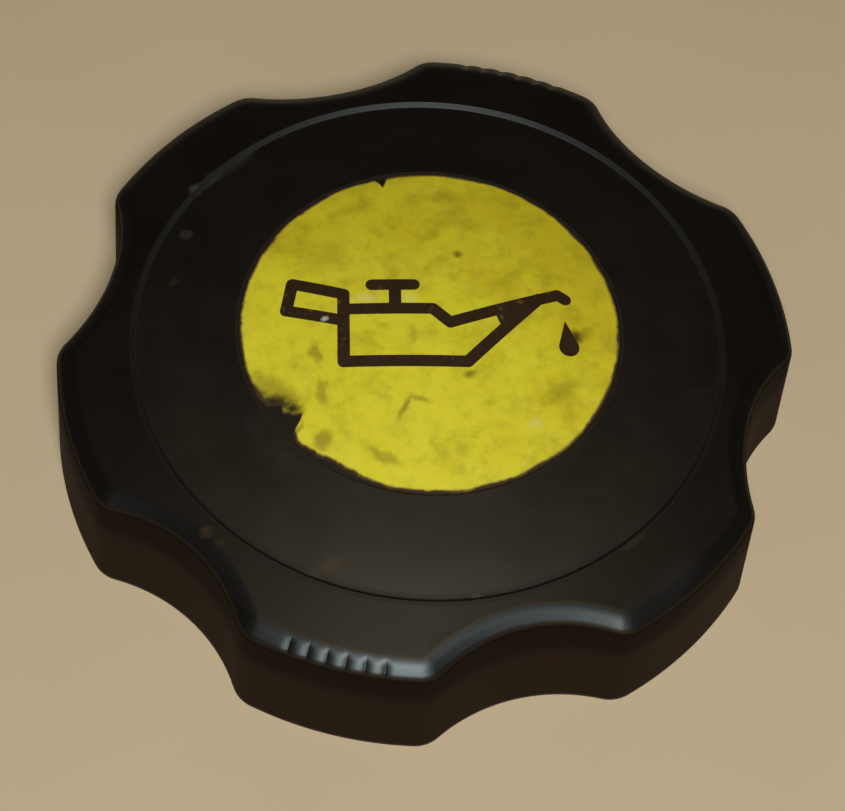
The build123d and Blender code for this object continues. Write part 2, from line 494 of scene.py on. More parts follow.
@dataclass(frozen=True)
class BayonetPlug:
    """Hollow plug with its lugs, which turns under the flange of the filler neck."""

    radius: float = 19.0
    wall: float = 2.4
    lift: float = 1.0
    guide_step: float = 0.6
    lead_in: float = 0.8
    lug_count: int = 3
    lug_reach: float = 3.0
    lug_thickness: float = 2.2
    lug_floor: float = 4.4
    lug_span: float = 40.0
    lug_ramp: float = 12.0
    lug_steps: int = 24
    rounding: float = 0.2
    margin: float = 2.0

    def section(self, seat_height: float, ceiling_height: float) -> list[Vector]:
        """Section of the plug from the seat down its outside and up its bore.

        Args:
            seat_height: Height of the seat round the plug.
            ceiling_height: Height of the ceiling at the bore's wall.

        Returns:
            The points of the section as radius and height.
        """
        guide = self.radius - self.guide_step
        bore = self.radius - self.wall
        soft = self.rounding
        return rounded(
            [
                (self.radius + self.margin, seat_height, 0.0),
                (self.radius, seat_height, soft),
                (self.radius, self.lug_floor, soft),
                (guide, self.lug_floor, soft),
                (guide, self.lift + self.lead_in, 2 * soft),
                (guide - self.lead_in, self.lift, soft),
                (bore, self.lift, soft),
                (bore, ceiling_height, 4 * soft),
                (bore - self.margin, ceiling_height, 0.0),
            ]
        )

    def add_lug(self, mesh: BMesh, turn: float) -> None:
        """Add one lug to a mesh, with its upper face ramped at the leading end.

        Args:
            mesh: Mesh that takes the lug.
            turn: Direction of the lug's middle, in degrees.
        """
        root = self.radius - self.wall / 2
        tip = self.radius + self.lug_reach
        top = self.lug_floor + self.lug_thickness
        section = mesh_of_face([(root, self.lug_floor), (tip, self.lug_floor), (tip, top), (root, top)])
        turned(section, -self.lug_span / 2)
        bmesh.ops.spin(
            section,
            geom=whole(section),
            cent=(0, 0, 0),
            axis=(0, 0, 1),
            angle=math.radians(self.lug_span),
            steps=self.lug_steps,
        )
        ramp = math.radians(self.lug_ramp)
        slope = Vector((0, math.sin(ramp), math.cos(ramp)))
        bmesh.ops.bisect_plane(
            section, geom=whole(section), plane_co=(0, 0, top), plane_no=slope, clear_outer=True
        )
        bmesh.ops.holes_fill(section, edges=section.edges, sides=0)
        bmesh.ops.recalc_face_normals(section, faces=section.faces)
        turned(section, turn)
        merge_into(mesh, section)


@dataclass(frozen=True)
class CapBody:
    """Grip, skirt, top plate and plug, moulded in one piece.

    The top edge falls by its slant between two rounded corners. Shares, levels and rings are places where
    the mesh has rings besides those of its corners. Over the fade rings, the top ones of the wall, the
    specular tint goes from a painted shade band just under the edge to the wall's warm tint.
    """

    outline: GripOutline = GripOutline()
    grooves: GripGrooves = GripGrooves()
    crown: Crown = Crown()
    plug: BayonetPlug = BayonetPlug()
    wall_draft: float = 1.2
    edge_slant: float = 31.0
    edge_width: float = 1.52
    edge_top_rounding: float = 4.0
    edge_low_rounding: float = 1.1
    edge_steps: int = 9
    band_shares: Numbers = (0.25, 0.5, 0.75)
    wall_levels: Numbers = (10.2, 9.4, 8.6, 7.8, 7.0, 6.2, 5.5, 4.9, 3.2, 1.8, 0.8)
    fade_rings: int = 4
    skirt_wall: float = 2.4
    seat_height: float = 11.0
    top_wall: float = 2.7
    label_recess: float = 17.85
    recess_depth: float = 0.3
    recess_bevel: float = 0.06
    recess_rings: Numbers = (3.0, 9.0, 14.0)
    dome_rings: Numbers = (18.6, 20.0, 22.0, 24.0, 25.4)
    rim_rounding: float = 0.4
    seat_ring: float = 27.0
    ceiling_rings: Numbers = (14.5, 11.0, 7.0, 3.0)
    rib_width: float = 1.6
    rib_height: float = 7.0
    rib_start: float = 28.2
    rib_rounding: float = 0.2

    def columns(self) -> list[Column]:
        """Columns of the mesh going round, closer together across the grooves.

        Returns:
            The columns in order.
        """
        half_face = self.outline.half_face()
        counts = {Arc.CORNER_IN: 8, Arc.LOBE: 16, Arc.CORNER_OUT: 8, Arc.SCALLOP: 22}
        columns = []
        for lobe in range(self.outline.lobe_count):
            for arc, count in counts.items():
                shares = [index / count for index in range(count)]
                if arc is Arc.LOBE and lobe in self.grooves.lobes:
                    shares = [(place / half_face + 1) / 2 for place in self.grooves.stations(half_face)]
                columns += [Column(lobe, arc, share) for share in shares]
        return columns

    def groove_depth(self, column: Column) -> float:
        """Full depth of the grooves at a column.

        Args:
            column: The column.

        Returns:
            The depth, 0 off the grooved lobes.
        """
        if column.arc is not Arc.LOBE or column.lobe not in self.grooves.lobes:
            return 0.0
        return self.grooves.depth_at((2 * column.share - 1) * self.outline.half_face())

    def lobed_ring(self, columns: Iterable[Column], inset: float, height: float) -> Ring:
        """Ring that follows the outline at an inset and a height."""
        return [lifted(self.outline.place(column, inset)[0], height) for column in columns]

    def round_ring(self, columns: Iterable[Column], radius: float, height: float) -> Ring:
        """Circle with a point for each column."""
        flats = [self.outline.place(column, self.edge_width)[0] for column in columns]
        return [lifted(flat.normalized() * radius, height) for flat in flats]

    def edge_sides(self) -> list[float]:
        """Values of the attribute over the two rounded corners of the top edge."""
        upper = spread(0.0, CORNER_SIDE, self.edge_steps)
        return upper + spread(SLANT_SIDE, EDGE_SIDE, self.edge_steps)

    def edge_points(self, column: Column) -> Ring:
        """Points of a column over the top edge, which slants between two rounded corners.

        Args:
            column: The column.

        Returns:
            The points from the band to the wall, pushed in where a groove runs over the edge.
        """
        flat, facing = self.outline.place(column, 0.0)
        slope = rise_of(self.crown.band_slope) * math.cos(facing - math.atan2(flat.y, flat.x))
        draft = rise_of(self.wall_draft)
        slant = rise_of(self.edge_slant)
        top = self.crown.band(flat.length)
        low = (top + self.edge_width * (slope - slant)) / (1 - slope * draft)
        high = low + self.edge_width * slant
        outer = draft * low
        inner = outer + self.edge_width
        # The first and the last corner only give the directions of the band and the wall.
        section = rounded(
            [
                (inner + 1.0, high + slope, 0.0),
                (inner, high, self.edge_top_rounding),
                (outer, low, self.edge_low_rounding),
                (outer - draft, low - 1.0, 0.0),
            ],
            self.edge_steps,
        )[1:-1]
        steep = math.radians(self.edge_slant)
        falls = spread(math.atan(slope), steep, self.edge_steps)
        falls += spread(steep, math.pi / 2, self.edge_steps)
        points = []
        for point, fall, side in zip(section, falls, self.edge_sides()):
            cut = self.groove_depth(column) * self.grooves.on_edge(side)
            inset = point.x + cut * math.sin(fall)
            points.append(lifted(self.outline.place(column, inset)[0], point.y - cut * math.cos(fall)))
        return points

    def wall_point(self, column: Column, height: float) -> Vector:
        """Point on the grip's outer wall, or on the floor of a groove.

        Args:
            column: The column.
            height: Height of the point.

        Returns:
            The point.
        """
        inset = height * rise_of(self.wall_draft)
        cut = self.groove_depth(column) * self.grooves.on_wall(height)
        return lifted(self.outline.place(column, inset + cut)[0], height)

    def top_rings(self, columns: Sequence[Column]) -> list[Ring]:
        """Rings of the label's recess, the dome, the raised ring and the band.

        Args:
            columns: Columns of the mesh.

        Returns:
            The rings, from the recess out to the edge.
        """
        crown = self.crown
        recess = self.label_recess
        brim = crown.dome(recess)
        section = crown.along_dome((*self.recess_rings, recess), -self.recess_depth)
        section += [Vector((recess, brim - self.recess_bevel)), Vector((recess + self.recess_bevel, brim))]
        section += crown.along_dome(self.dome_rings) + crown.ring_section()
        rings = [self.round_ring(columns, point.x, point.y) for point in section]
        edge = self.edge_rings(columns)[0]
        for share in self.band_shares:
            flats = [inner.lerp(outer, share).to_2d() for inner, outer in zip(rings[-1], edge)]
            rings.append([lifted(flat, crown.band(flat.length)) for flat in flats])
        return rings

    def edge_rings(self, columns: Sequence[Column]) -> list[Ring]:
        """Rings of the rounded edge, from the band down to the wall."""
        return [list(ring) for ring in zip(*(self.edge_points(column) for column in columns))]

    def wall_rings(self, columns: Sequence[Column]) -> list[Ring]:
        """Rings of the wall, down to the rim's rounding."""
        levels = sorted((*self.wall_levels, self.grooves.foot), reverse=True)
        return [[self.wall_point(column, level) for column in columns] for level in levels]

    def rim_rings(self, columns: Sequence[Column]) -> list[Ring]:
        """Rings of the rim's rounded edges, the skirt's inside and the seat.

        Args:
            columns: Columns of the mesh.

        Returns:
            The rings, from the wall to the seat.
        """
        rim = self.rim_rounding
        wall = self.skirt_wall
        section = rounded(
            [
                (rim * rise_of(self.wall_draft), 2 * rim, 0.0),
                (0.0, 0.0, rim),
                (wall, 0.0, rim),
                (wall, self.seat_height, rim),
                (wall + 2 * rim, self.seat_height, 0.0),
            ]
        )
        return [self.lobed_ring(columns, point.x, max(point.y, 0.0)) for point in section[1:]]

    def under_rings(self, columns: Sequence[Column]) -> list[Ring]:
        """Rings of the seat, the plug and the ceiling of its bore.

        Args:
            columns: Columns of the mesh.

        Returns:
            The rings, from the seat to the middle of the ceiling.
        """
        bore = self.plug.radius - self.plug.wall
        ceiling = self.crown.dome(bore, -self.top_wall)
        section = [Vector((self.seat_ring, self.seat_height))]
        section += self.plug.section(self.seat_height, ceiling)[:-1]
        section += self.crown.along_dome(self.ceiling_rings, -self.top_wall)
        return [self.round_ring(columns, point.x, point.y) for point in section]

    def skin(self) -> BMesh:
        """The whole moulding but for its lugs and ribs, as one closed skin.

        Returns:
            The closed mesh.
        """
        columns = self.columns()
        top = self.top_rings(columns)
        edge = self.edge_rings(columns)
        wall = self.wall_rings(columns)
        below = [*self.rim_rings(columns), *self.under_rings(columns)]
        fade = spread(EDGE_SIDE, WALL_SIDE, self.fade_rings)
        sides = [0.0] * len(top) + self.edge_sides() + fade + [WALL_SIDE] * (len(wall) - len(fade))
        sides += [UNDER_SIDE] * len(below)
        recess = Vector((0, 0, self.crown.dome(0.0, -self.recess_depth)))
        ceiling = Vector((0, 0, self.crown.dome(0.0, -self.top_wall)))
        return skinned([*top, *edge, *wall, *below], recess, ceiling, sides)

    def add_rib(self, mesh: BMesh, turn: float) -> None:
        """Add one upright rib between the top plate and the skirt, inside a lobe.

        Args:
            mesh: Mesh that takes the rib.
            turn: Direction of the rib, in degrees.
        """
        rib = bmesh.new()
        bmesh.ops.create_cube(rib, size=1.0)
        length = self.outline.grip_radius - self.skirt_wall / 2 - self.rib_start
        height = self.rib_height + self.top_wall / 2
        bmesh.ops.scale(rib, vec=(length, self.rib_width, height), verts=rib.verts)
        low = self.seat_height - self.rib_height
        bmesh.ops.translate(rib, vec=(self.rib_start + length / 2, 0, low + height / 2), verts=rib.verts)
        bmesh.ops.bevel(
            rib,
            geom=rib.edges[:],
            offset=self.rib_rounding,
            segments=3,
            profile=0.5,
            affect="EDGES",
            material=-1,
        )
        turned(rib, turn)
        merge_into(mesh, rib)

    def build(self) -> Object:
        """Build the moulding with its lugs and ribs, and put it in the scene.

        Returns:
            The piece.
        """
        body = piece_from(self.skin(), "cap_body_piece")
        extras = bmesh.new()
        for index in range(self.plug.lug_count):
            self.plug.add_lug(extras, self.outline.lobe_turn + index * 360 / self.plug.lug_count)
        for index in range(self.outline.lobe_count):
            self.add_rib(extras, self.outline.lobe_turn + index * 360 / self.outline.lobe_count)
        joined(body, piece_from(extras, "lugs_and_ribs"))
        self.mark_underside(body)
        shade(body)
        return body

    def mark_underside(self, body: Object) -> None:
        """Give the lugs, the ribs and their seams the underside's value, which the union leaves at 0.

        Args:
            body: The moulding.
        """
        mesh = bmesh.new()
        mesh.from_mesh(body.data)
        layer = mesh.verts.layers.float[SIDE]
        for vert in mesh.verts:
            if vert.co.z < (self.seat_height + self.rim_rounding) * MM and vert[layer] < EDGE_SIDE:
                vert[layer] = UNDER_SIDE
        mesh.to_mesh(body.data)
        mesh.free()


@dataclass(frozen=True)
class EdgeLoss:
    """Bits lost from the label's edge.

    Attributes:
        places: Angle and depth of the loss at points going round the edge.
    """

    places: tuple[Pair, ...]

    def depth(self, angle: float) -> float:
        """Depth of the loss at an angle.

        Args:
            angle: The angle, in degrees.

        Returns:
            The depth, 0 where nothing is lost.
        """
        for (start, first), (end, last) in zip(self.places, self.places[1:]):
            if start <= angle < end:
                return first + (last - first) * eased((angle - start) / (end - start))
        return 0.0


FLAKE = EdgeLoss(
    (
        (206.0, 0.0), (209.5, 0.3), (212.0, 1.3), (214.2, 1.1), (216.8, 1.55), (219.0, 2.3),
        (222.8, 0.45), (225.4, 0.08), (232.0, 0.3), (239.0, 0.5), (247.0, 0.35), (258.0, 0.0),
    )
)
NICK = EdgeLoss(((102.3, 0.0), (103.8, 0.5), (104.8, 0.95), (105.8, 0.3), (106.6, 0.0)))


@dataclass(frozen=True)
class LabelDisc:
    """Thin domed label in the cap's recess, with its torn edge.

    The edge is frayed all round. Where bits are lost it also has teeth, whole from a loss of tear_start on.
    """

    crown: Crown = Crown()
    radius: float = 17.75
    thickness: float = 0.3
    rounding: float = 0.07
    losses: tuple[EdgeLoss, ...] = (FLAKE, NICK)
    bed_gap: float = 0.01
    tear: float = 0.16
    tear_start: float = 0.4
    fray: float = 0.02
    tooth_scale: float = 30.0
    tooth_decay: float = 1.0
    tooth_ratio: float = 2.0
    tooth_layers: int = 4
    worn_width: float = 0.6
    worn_shares: Numbers = (0.2, 0.4, 0.7, 1.0)
    inner_shares: Numbers = (0.96, 0.9, 0.8, 0.66, 0.5, 0.33, 0.15)
    segments: int = 1200
    sharp_from: float = 50.0

    def edge(self, angle: float) -> float:
        """Radius of the label's edge at an angle, frayed, and with teeth where it is torn.

        Args:
            angle: The angle, in degrees.

        Returns:
            The radius.
        """
        depth = sum(loss.depth(angle) for loss in self.losses)
        turn = math.radians(angle)
        place = Vector((math.cos(turn), math.sin(turn), 0.0)) * self.tooth_scale
        teeth = noise.fractal(place, self.tooth_decay, self.tooth_ratio, self.tooth_layers)
        torn = self.tear * min(depth / self.tear_start, 1.0)
        return self.radius - depth - self.fray * abs(teeth) - torn * teeth

    def ring(self, inset: float, share: float, lift: float) -> Ring:
        """Ring inside the label's edge, on a surface lifted off the dome.

        Args:
            inset: Distance in from the edge.
            share: Share of the edge's radius that is kept.
            lift: Height above the dome.

        Returns:
            The places of the ring.
        """
        ring = []
        for index in range(self.segments):
            angle = 360.0 * index / self.segments
            radius = (self.edge(angle) - inset) * share
            ring.append(lifted(polar(radius, math.radians(angle)), self.crown.dome(radius, lift)))
        return ring

    def build(self) -> Object:
        """Build the label and put it in the scene.

        Returns:
            The piece.
        """
        base = self.bed_gap - self.thickness
        soft = self.rounding
        # Distance of the rounding's middle from the two faces that it joins.
        halfway = soft * 0.3
        rings = [self.ring(0.0, 0.5, base), self.ring(0.0, 1.0, base), self.ring(0.0, 1.0, -soft)]
        rings += [self.ring(halfway, 1.0, -halfway), self.ring(soft, 1.0, 0.0)]
        wear = [1.0] * len(rings)
        for share in self.worn_shares:
            rings.append(self.ring(soft + self.worn_width * share, 1.0, 0.0))
            wear.append(1.0 - share)
        inner = soft + self.worn_width
        rings += [self.ring(inner, share, 0.0) for share in self.inner_shares]
        low = Vector((0, 0, self.crown.dome(0.0, base)))
        high = Vector((0, 0, self.crown.dome(0.0)))
        label = piece_from(skinned(rings, low, high, wear), "label_disc_piece")
        shade(label, self.sharp_from)
        return label


@dataclass(frozen=True)
class SealingRing:
    """Flat rubber ring round the plug, against the seat."""

    inner_radius: float = 19.2
    width: float = 5.8
    thickness: float = 2.0
    seat_height: float = 11.0
    rounding: float = 0.4
    corner_points: int = 6
    segments: int = 144

    def build(self) -> Object:
        """Turn the ring and put it in the scene.

        Returns:
            The piece.
        """
        inner, outer = self.inner_radius, self.inner_radius + self.width
        low, high = self.seat_height - self.thickness, self.seat_height
        middle = (low + high) / 2
        line = rounded(
            [
                (inner, middle, 0.0),
                (inner, low, self.rounding),
                (outer, low, self.rounding),
                (outer, high, self.rounding),
                (inner, high, self.rounding),
                (inner, middle, 0.0),
            ],
            self.corner_points,
        )
        mesh = mesh_of_face([(point.x, point.y) for point in line[:-1]])
        bmesh.ops.delete(mesh, geom=mesh.faces[:], context="FACES_ONLY")
        bmesh.ops.spin(
            mesh,
            geom=[*mesh.edges, *mesh.verts],
            cent=(0, 0, 0),
            axis=(0, 0, 1),
            angle=2 * math.pi,
            steps=self.segments,
            use_merge=True,
        )
        bmesh.ops.remove_doubles(mesh, verts=mesh.verts, dist=MERGE_DISTANCE)
        bmesh.ops.recalc_face_normals(mesh, faces=mesh.faces)
        ring = piece_from(mesh, "sealing_ring_piece")
        shade(ring)
        return ring


@dataclass(frozen=True)
class Cloud:
    """Cloudy pattern of a finish.

    Attributes:
        size: About how large its patches are.
        detail: Number of finer layers in it.
        rough: Weight of the finer layers.
        low: Value of the pattern up to which it gives its start.
        high: Value of the pattern from which it gives its end.
        start: What it gives in its low patches.
        end: What it gives in its high patches.
    """

    size: float
    detail: float = 3.0
    rough: float = 0.6
    low: float = 0.3
    high: float = 0.7
    start: float = 0.0
    end: float = 1.0


@dataclass(frozen=True)
class Grain:
    """Fine relief of a finish, with the size of its grains, its depth and how much of it shows."""

    size: float
    depth: float
    strength: float


class Paint:
    """Material in the making, whose nodes read the piece's own coordinates in millimetres."""

    def __init__(self, name: str) -> None:
        """Start a material with one shader and the coordinates of the piece.

        Args:
            name: Name of the material.
        """
        self.material: Material = bpy.data.materials.new(name)
        self.material.use_nodes = True
        self.shader: Node = self.material.node_tree.nodes["Principled BSDF"]
        metres = self.node("ShaderNodeTexCoord").outputs["Object"]
        self.place = self.vector("SCALE", metres, 1 / MM)

    def node(self, kind: str, **settings: object) -> Node:
        """Add a node.

        Args:
            kind: Type of the node.
            settings: Names and values of its properties.

        Returns:
            The node.
        """
        node = self.material.node_tree.nodes.new(kind)
        for name, value in settings.items():
            setattr(node, name, value)
        return node

    def feed(self, socket: NodeSocket, value: Union[Value, Tint, Vector]) -> None:
        """Link a socket to another, or set its value.

        Args:
            socket: Socket of a node.
            value: Socket that feeds it, or its value.
        """
        if isinstance(value, NodeSocket):
            self.material.node_tree.links.new(value, socket)
        elif isinstance(value, tuple) and socket.type == "RGBA":
            socket.default_value = (*value, 1.0)
        else:
            socket.default_value = value

    def vector(self, operation: str, first: NodeSocket, second: Union[Value, Vector] = 0.0) -> NodeSocket:
        """Work with vectors.

        Args:
            operation: What is done with them, in the node's word.
            first: The vector.
            second: Another vector, or the scale; unused for the length.

        Returns:
            The new vector, or the length.
        """
        node = self.node("ShaderNodeVectorMath", operation=operation)
        self.feed(node.inputs[0], first)
        if operation == "LENGTH":
            return node.outputs["Value"]
        self.feed(node.inputs["Scale" if operation == "SCALE" else 1], second)
        return node.outputs["Vector"]

    def math(self, operation: str, first: Value, second: Value = 0.0) -> NodeSocket:
        """Number from one or two numbers.

        Args:
            operation: What is done with them, in the node's word.
            first: The first number.
            second: The second number, where the operation has one.

        Returns:
            The new number.
        """
        node = self.node("ShaderNodeMath", operation=operation)
        self.feed(node.inputs[0], first)
        self.feed(node.inputs[1], second)
        return node.outputs["Value"]

    def give(self, name: str, value: Union[Value, Tint]) -> None:
        """Link a socket of the shader to another, or set its value."""
        self.feed(self.shader.inputs[name], value)

    def noise(self, cloud: Cloud) -> Node:
        """Noise texture with a cloud's patches.

        Args:
            cloud: The cloud.

        Returns:
            The texture's node.
        """
        node = self.node("ShaderNodeTexNoise")
        self.feed(node.inputs["Vector"], self.place)
        numbers = {"Scale": 1 / cloud.size, "Detail": cloud.detail, "Roughness": cloud.rough}
        for name, number in numbers.items():
            node.inputs[name].default_value = number
        return node

    def cloud(self, cloud: Cloud) -> NodeSocket:
        """What a cloud gives at each point."""
        value = self.noise(cloud).outputs["Fac"]
        return self.between(value, cloud.low, cloud.high, cloud.start, cloud.end)

    def ragged(self, size: float, reach: float) -> NodeSocket:
        """Coordinates shaken by a pattern, so that what is drawn in them has ragged edges.

        Args:
            size: Size of the pattern's patches.
            reach: How far the coordinates are shaken.

        Returns:
            The coordinates.
        """
        shaken = self.noise(Cloud(size, rough=0.5)).outputs["Color"]
        shift = self.vector("SUBTRACT", shaken, Vector((0.5, 0.5, 0.5)))
        return self.vector("ADD", self.place, self.vector("SCALE", shift, reach))

    def between(
        self, value: Value, low: float, high: float, start: float = 0.0, end: float = 1.0
    ) -> NodeSocket:
        """Value moved smoothly from one range to another, and held at its ends.

        Args:
            value: The value.
            low: Start of its own range.
            high: End of its own range.
            start: Start of the new range.
            end: End of the new range.

        Returns:
            The new value.
        """
        node = self.node("ShaderNodeMapRange", interpolation_type="SMOOTHSTEP")
        self.feed(node.inputs["Value"], value)
        for name, number in (("From Min", low), ("From Max", high), ("To Min", start), ("To Max", end)):
            node.inputs[name].default_value = number
        return node.outputs["Result"]

    def mixed(self, share: Value, under: Tint, over: Tint) -> NodeSocket:
        """Colour between two colours.

        Args:
            share: Share of the second one.
            under: First colour.
            over: Second colour.

        Returns:
            The colour, from the node's sockets for colours.
        """
        node = self.node("ShaderNodeMix", data_type="RGBA")
        self.feed(node.inputs[0], share)
        self.feed(node.inputs[6], under)
        self.feed(node.inputs[7], over)
        return node.outputs[2]

    def blend(self, share: Value, first: Value, second: Value) -> NodeSocket:
        """Number between two numbers.

        Args:
            share: Share of the second one.
            first: First number.
            second: Second number.

        Returns:
            The number, from the node's sockets for numbers.
        """
        node = self.node("ShaderNodeMix", data_type="FLOAT")
        self.feed(node.inputs[0], share)
        self.feed(node.inputs[2], first)
        self.feed(node.inputs[3], second)
        return node.outputs[0]

    def bump(self, grain: Grain) -> None:
        """Give the shader a fine relief.

        Args:
            grain: The relief.
        """
        node = self.node("ShaderNodeBump")
        node.inputs["Strength"].default_value = grain.strength
        node.inputs["Distance"].default_value = grain.depth * MM
        self.feed(node.inputs["Height"], self.noise(Cloud(grain.size)).outputs["Fac"])
        self.give("Normal", node.outputs["Normal"])


@dataclass(frozen=True)
class Mark:
    """One stain, scuff or speck on the cap's top.

    Attributes:
        x: Place of its middle along the sign.
        y: Place of its middle across the sign.
        length: Half its length.
        width: Half its width.
        turn: Direction of its length, in degrees.
        strength: How much of its colour shows, from 0 to 1.
        soft: Share of its size over which it fades.
        outer_soft: Share of that fade that lies outside it as well.
        space_height: Height of the space it is drawn in, so great that the place's height hardly counts.
    """

    x: float
    y: float
    length: float
    width: float
    turn: float = 0.0
    strength: float = 1.0
    soft: float = 0.7
    outer_soft: float = 0.4
    space_height: float = 1000.0

    def mask(self, paint: Paint, place: NodeSocket) -> NodeSocket:
        """Share of the mark's colour at each point.

        Args:
            paint: Material that the mark is on.
            place: Coordinates to draw it in, ragged or plain.

        Returns:
            The share, from 0 off the mark to its strength in its middle.
        """
        node = paint.node("ShaderNodeMapping", vector_type="TEXTURE")
        paint.feed(node.inputs["Vector"], place)
        node.inputs["Location"].default_value = (self.x, self.y, 0.0)
        node.inputs["Rotation"].default_value = (0.0, 0.0, math.radians(self.turn))
        node.inputs["Scale"].default_value = (self.length, self.width, self.space_height)
        away = paint.vector("LENGTH", node.outputs["Vector"])
        end = 1.0 + self.soft * self.outer_soft
        return paint.between(away, 1.0 - self.soft, end, self.strength, 0.0)


def marked(paint: Paint, marks: Sequence[Mark], place: NodeSocket) -> NodeSocket:
    """Greatest share of several marks at each point.

    Args:
        paint: Material that the marks are on.
        marks: The marks.
        place: Coordinates to draw them in, ragged or plain.

    Returns:
        The share.
    """
    share = marks[0].mask(paint, place)
    for mark in marks[1:]:
        share = paint.math("MAXIMUM", share, mark.mask(paint, place))
    return share


@dataclass(frozen=True)
class Circle:
    """Circle round the cap's axis that a finish follows.

    Attributes:
        radius: Radius of the circle.
        core: Distance from the circle that is covered whole.
        reach: Distance from the circle at which it ends.
    """

    radius: float
    core: float
    reach: float

    def mask(self, paint: Paint, away: NodeSocket, within: NodeSocket) -> NodeSocket:
        """Share of the circle's finish at each point.

        Args:
            paint: Material that it is on.
            away: Distance from the axis.
            within: Share of the surface that may carry it.

        Returns:
            The share, from 1 at the circle to 0 beyond its reach.
        """
        off = paint.math("ABSOLUTE", paint.math("SUBTRACT", away, self.radius))
        return paint.math("MULTIPLY", within, paint.between(off, self.core, self.reach, 1.0, 0.0))


